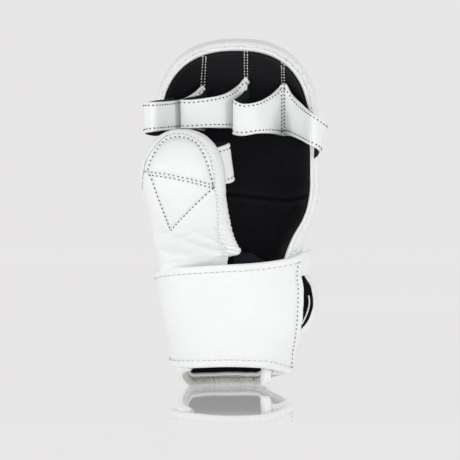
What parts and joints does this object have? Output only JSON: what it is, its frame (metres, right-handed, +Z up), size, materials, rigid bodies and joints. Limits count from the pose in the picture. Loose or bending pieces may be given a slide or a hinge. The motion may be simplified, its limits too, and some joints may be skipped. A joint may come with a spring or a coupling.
{
  "type": "padded sparring glove",
  "caption": "Left-hand open-palm sparring glove with a padded knuckle dish, finger loops, a padded thumb cover and a wide wrist strap, standing on its cuff.",
  "frame": {"origin": "centre of the bounding box in plan, at its bottom: on the surface that the glove stands on", "axes": "+Z up, from the hem to the knuckles; -Y is the palm side, which the picture shows; +X is the little finger's side"},
  "size_m": [0.1412, 0.1294, 0.2685],
  "materials": {
    "white_leather": "satin",
    "white_edging": "satin",
    "hem_leather": "satin",
    "black_lining": "matte",
    "elastic": "matte",
    "hook_fabric": "matte"
  },
  "bodies": {
    "root": {"hand_shell": "white_leather", "shell_lining": "black_lining", "rim_piping": "white_edging", "finger_loop_index": "white_leather", "finger_loop_middle": "white_leather", "finger_loop_ring": "white_leather", "finger_loop_little": "white_leather", "thumb_cover": "white_leather", "thumb_lining": "black_lining", "thumb_binding": "white_edging", "thumb_loop": "white_leather", "cuff": "white_leather", "cuff_lining": "black_lining", "cuff_hem": "hem_leather", "cuff_end_edging": "white_edging", "hook_patch": "hook_fabric", "palm_gusset": "elastic", "wrist_strap": "white_leather", "strap_top_edging": "white_edging", "strap_bottom_edging": "white_edging"}
  },
  "joints": []
}
